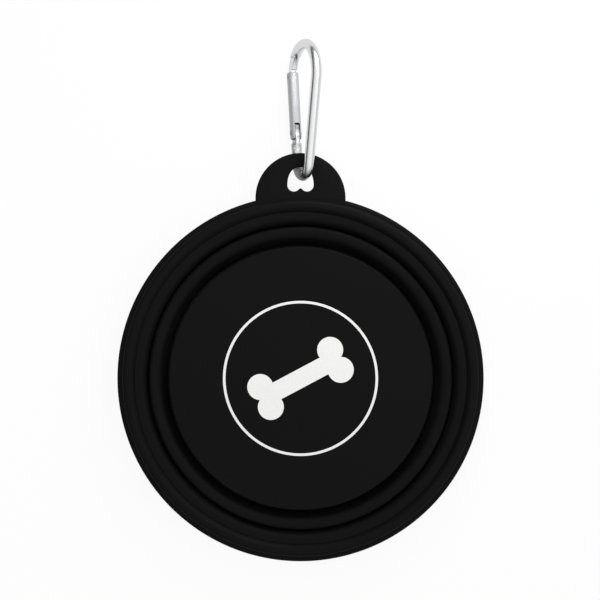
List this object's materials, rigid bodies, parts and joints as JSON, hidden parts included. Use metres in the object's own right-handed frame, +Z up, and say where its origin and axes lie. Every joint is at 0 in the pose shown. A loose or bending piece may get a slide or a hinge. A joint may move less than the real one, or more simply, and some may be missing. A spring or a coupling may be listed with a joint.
{
  "type": "collapsible bowl",
  "caption": "Flat-folding travel bowl: a hard rim and base joined by a soft fold-out wall, with a hang tab and a snap carabiner.",
  "frame": {"origin": "centre of the base plate's underside, the face that the opened bowl stands on", "axes": "+Z up along the bowl's axis, +Y towards the hang tab and carabiner"},
  "size_m": [0.13, 0.1854, 0.0234],
  "materials": {
    "hard_plastic": "satin moulded black polypropylene",
    "soft_rubber": "matte black thermoplastic rubber",
    "aluminium": "bright drawn and tumbled bar",
    "steel": "plain steel wire"
  },
  "bodies": {
    "base": {"base_plate": "hard_plastic"},
    "lower_wall": {"lower_wall_band": "soft_rubber", "lower_fold_web": "soft_rubber"},
    "rim": {"rim_ring": "hard_plastic", "upper_wall_band": "soft_rubber", "upper_fold_web": "soft_rubber"},
    "carabiner": {"carabiner_frame": "aluminium", "gate_rivet": "steel", "gate_spring": "steel"},
    "gate": {"carabiner_gate": "aluminium", "gate_latch_pin": "steel"}
  },
  "joints": [
    {"name": "lower_fold", "type": "slide", "parent": "base", "child": "lower_wall", "axis": [0, 0, 1], "range_m": [0, 0.024], "deforming": ["lower_fold_web"]},
    {"name": "upper_fold", "type": "slide", "parent": "lower_wall", "child": "rim", "axis": [0, 0, 1], "range_m": [0, 0.024], "deforming": ["upper_fold_web"]},
    {"name": "carabiner_swing", "type": "hinge", "parent": "rim", "child": "carabiner", "pos_m": [0.00095, 0.07708, -0.0011], "axis": [0.9171, 0, -0.3987], "range_deg": [-110, 105]},
    {"name": "gate_hinge", "type": "hinge", "parent": "carabiner", "child": "gate", "pos_m": [-0.0017, 0.08738, -0.00718], "axis": [0.9171, 0, -0.3987], "range_deg": [0, 40], "stiffness_Nm_per_rad": 0.01, "springref_deg": -34.38, "deforming": ["gate_spring"]}
  ]
}
